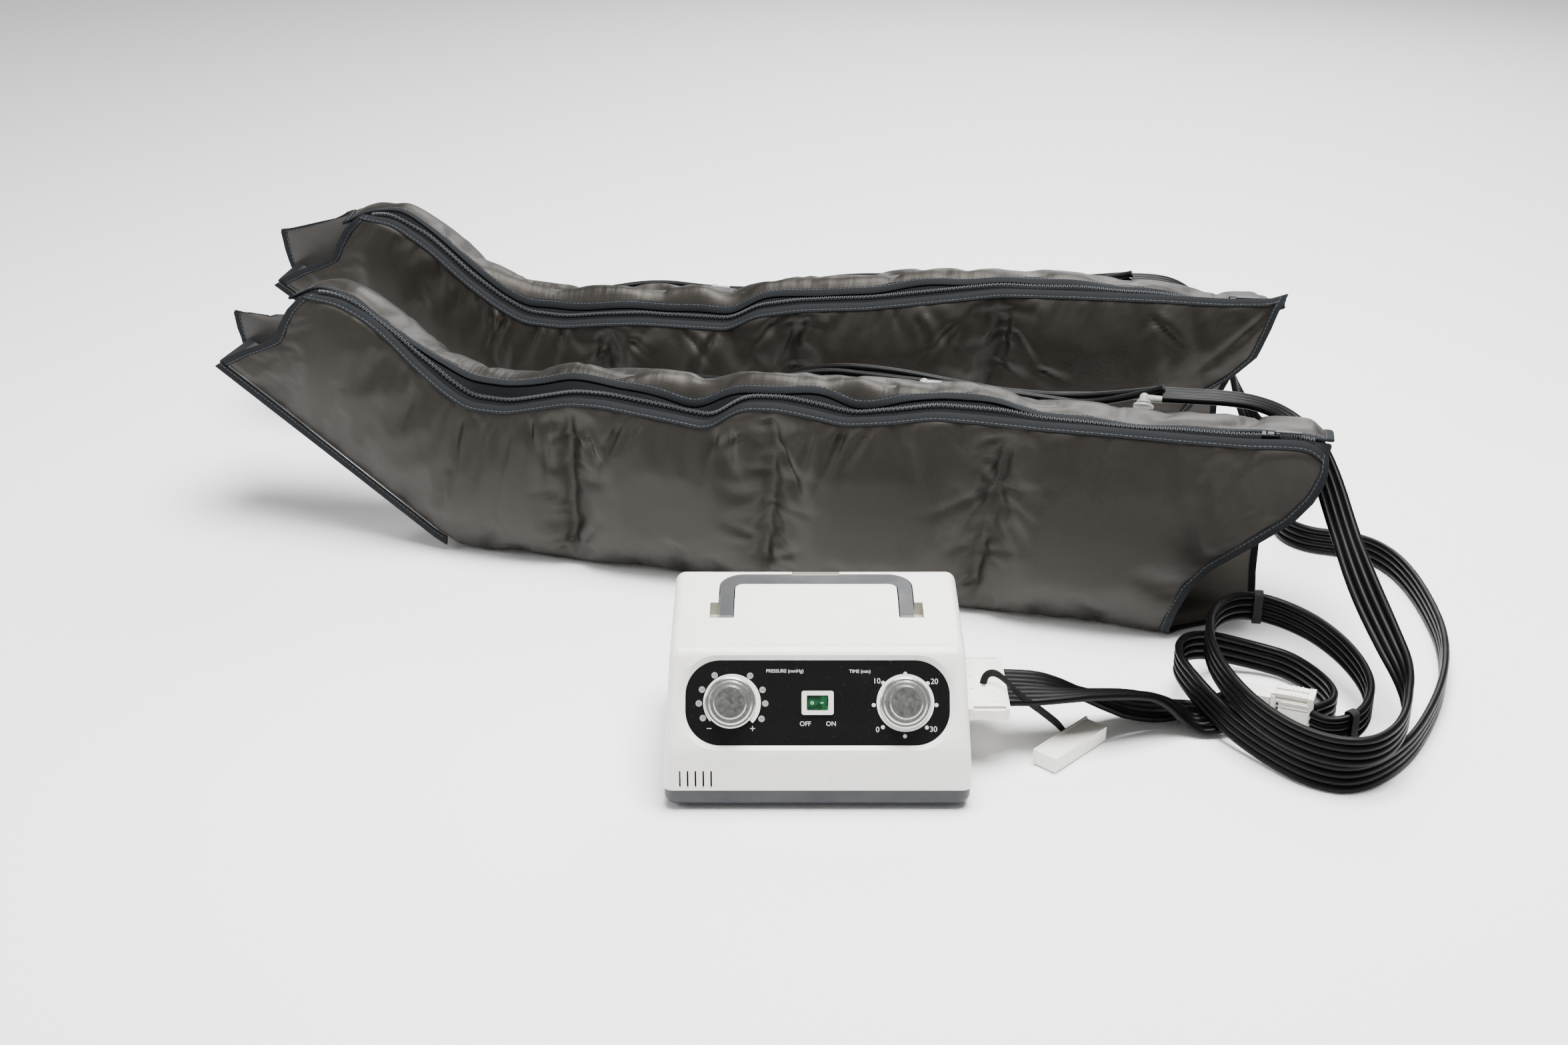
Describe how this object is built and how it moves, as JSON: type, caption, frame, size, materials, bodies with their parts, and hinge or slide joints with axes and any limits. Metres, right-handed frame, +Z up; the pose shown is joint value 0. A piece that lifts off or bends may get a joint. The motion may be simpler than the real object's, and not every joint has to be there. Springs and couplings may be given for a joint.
{
  "type": "compression therapy pump",
  "caption": "Sequential air-compression therapy pump with folding handle, dials, plug-in hoses, couplers and a pair of full-leg inflatable sleeves with zips.",
  "frame": {"origin": "on the floor under the middle of the pump's base", "axes": "+X to the right across the control panel, +Y from the panel to the back, +Z up"},
  "size_m": [1.2421, 0.9061, 0.2862],
  "materials": {
    "ivory_plastic": "satin",
    "grey_plastic": "satin",
    "black_gloss": "gloss",
    "knob_silver": "satin",
    "dial_white": "satin",
    "green_plastic": "gloss",
    "rubber_black": "matte",
    "hose_black": "satin",
    "steel": "satin",
    "laminations": "matte",
    "copper": "gloss",
    "alloy": "satin",
    "board_green": "satin",
    "strap_black": "matte",
    "sleeve_fabric": "satin",
    "zip_grey": "satin",
    "nozzle_grey": "satin",
    "white_plastic": "satin"
  },
  "bodies": {
    "pump_set": {"base_tray": "grey_plastic", "upper_cover": "ivory_plastic", "rubber_feet": "rubber_black", "cover_screws": "steel", "handle_pins": "steel", "control_fascia": "black_gloss", "dial_rings": "dial_white", "pressure_valve": "white_plastic", "timer_mechanism": "white_plastic", "switch_housing": "dial_white", "mains_inlet": "black_gloss", "circuit_board": "board_green", "compressor_frame": "laminations", "compressor_coils": "copper", "compressor_heads": "alloy", "isolator_mounts": "rubber_black", "distributor_body": "white_plastic", "distributor_motor": "alloy", "air_feed_hose": "hose_black", "manifold_hoses": "hose_black", "outlet_socket": "ivory_plastic", "plug_body": "ivory_plastic", "blanking_cap": "ivory_plastic", "cap_strap": "strap_black", "pump_hose_rear": "hose_black", "pump_hose_front": "hose_black", "near_coupler_socket": "ivory_plastic", "near_coupler_plug": "ivory_plastic", "far_coupler_socket": "ivory_plastic", "far_coupler_plug": "ivory_plastic", "far_hose_coil": "hose_black", "near_hose_coil": "hose_black", "hose_ties": "strap_black", "near_hose_drop": "hose_black", "far_hose_run": "hose_black", "near_foot_sleeve": "sleeve_fabric", "near_thigh_sleeve": "sleeve_fabric", "near_air_nozzles": "nozzle_grey", "near_branch_hoses": "hose_black", "far_foot_sleeve": "sleeve_fabric", "far_thigh_sleeve": "sleeve_fabric", "far_air_nozzles": "nozzle_grey", "far_branch_hoses": "hose_black", "zip_chains": "zip_grey"},
    "carry_handle": {"carry_handle": "grey_plastic"},
    "pressure_control": {"pressure_knob": "knob_silver", "pressure_knob_cap": "knob_silver", "pressure_spindle": "steel"},
    "timer_control": {"timer_knob": "knob_silver", "timer_knob_cap": "knob_silver", "timer_spindle": "steel"},
    "switch_rocker": {"switch_rocker": "green_plastic"},
    "plug_front_latch": {"plug_front_latch": "ivory_plastic"},
    "plug_rear_latch": {"plug_rear_latch": "ivory_plastic"},
    "near_coupler_latch": {"near_coupler_latch": "ivory_plastic"},
    "far_coupler_latch": {"far_coupler_latch": "ivory_plastic"},
    "armature": {"compressor_armature": "laminations"},
    "rotor": {"distributor_rotor": "white_plastic"},
    "near_zip_slider": {"near_zip_slider": "steel"},
    "far_zip_slider": {"far_zip_slider": "steel"}
  },
  "joints": [
    {"name": "handle_fold", "type": "hinge", "parent": "pump_set", "child": "carry_handle", "pos_m": [0, 0.00722, 0.12997], "axis": [1, 0, 0], "range_deg": [0, 95]},
    {"name": "pressure_turn", "type": "hinge", "parent": "pump_set", "child": "pressure_control", "pos_m": [-0.0745, -0.07438, 0.09357], "axis": [0, 0.8505, -0.526], "range_deg": [0, 296]},
    {"name": "timer_turn", "type": "hinge", "parent": "pump_set", "child": "timer_control", "pos_m": [0.075, -0.07438, 0.09357], "axis": [0, 0.8505, -0.526], "range_deg": [0, 315]},
    {"name": "switch_rock", "type": "hinge", "parent": "pump_set", "child": "switch_rocker", "pos_m": [0, -0.06971, 0.09068], "axis": [0, 0.526, 0.8505], "range_deg": [0, 14]},
    {"name": "plug_front_latch_press", "type": "hinge", "parent": "pump_set", "child": "plug_front_latch", "pos_m": [0.138, -0.0324, 0.057], "axis": [0, 0, 1], "range_deg": [0, 4], "stiffness_Nm_per_rad": 0.6},
    {"name": "plug_rear_latch_press", "type": "hinge", "parent": "pump_set", "child": "plug_rear_latch", "pos_m": [0.138, 0.0604, 0.057], "axis": [0, 0, -1], "range_deg": [0, 4], "stiffness_Nm_per_rad": 0.6},
    {"name": "near_coupler_latch_press", "type": "hinge", "parent": "pump_set", "child": "near_coupler_latch", "pos_m": [0.41493, 0.01948, 0.0484], "axis": [0.3584, 0.9336, 0], "range_deg": [0, 4], "stiffness_Nm_per_rad": 0.6},
    {"name": "far_coupler_latch_press", "type": "hinge", "parent": "pump_set", "child": "far_coupler_latch", "pos_m": [0.41863, 0.0291, 0.0484], "axis": [0.3584, 0.9336, 0], "range_deg": [0, 4], "stiffness_Nm_per_rad": 0.6},
    {"name": "armature_stroke", "type": "slide", "parent": "pump_set", "child": "armature", "axis": [1, 0, 0], "range_m": [-0.0015, 0.0015], "stiffness_N_per_m": 400},
    {"name": "rotor_turn", "type": "hinge", "parent": "pump_set", "child": "rotor", "pos_m": [0.074, 0.014, 0.055], "axis": [0, 0, 1], "continuous": true},
    {"name": "near_zip_run", "type": "slide", "parent": "pump_set", "child": "near_zip_slider", "axis": [-0.9653, 0.2587, -0.0349], "range_m": [0, 0.42]},
    {"name": "far_zip_run", "type": "slide", "parent": "pump_set", "child": "far_zip_slider", "axis": [-0.9842, 0.1735, -0.0349], "range_m": [0, 0.42]}
  ]
}
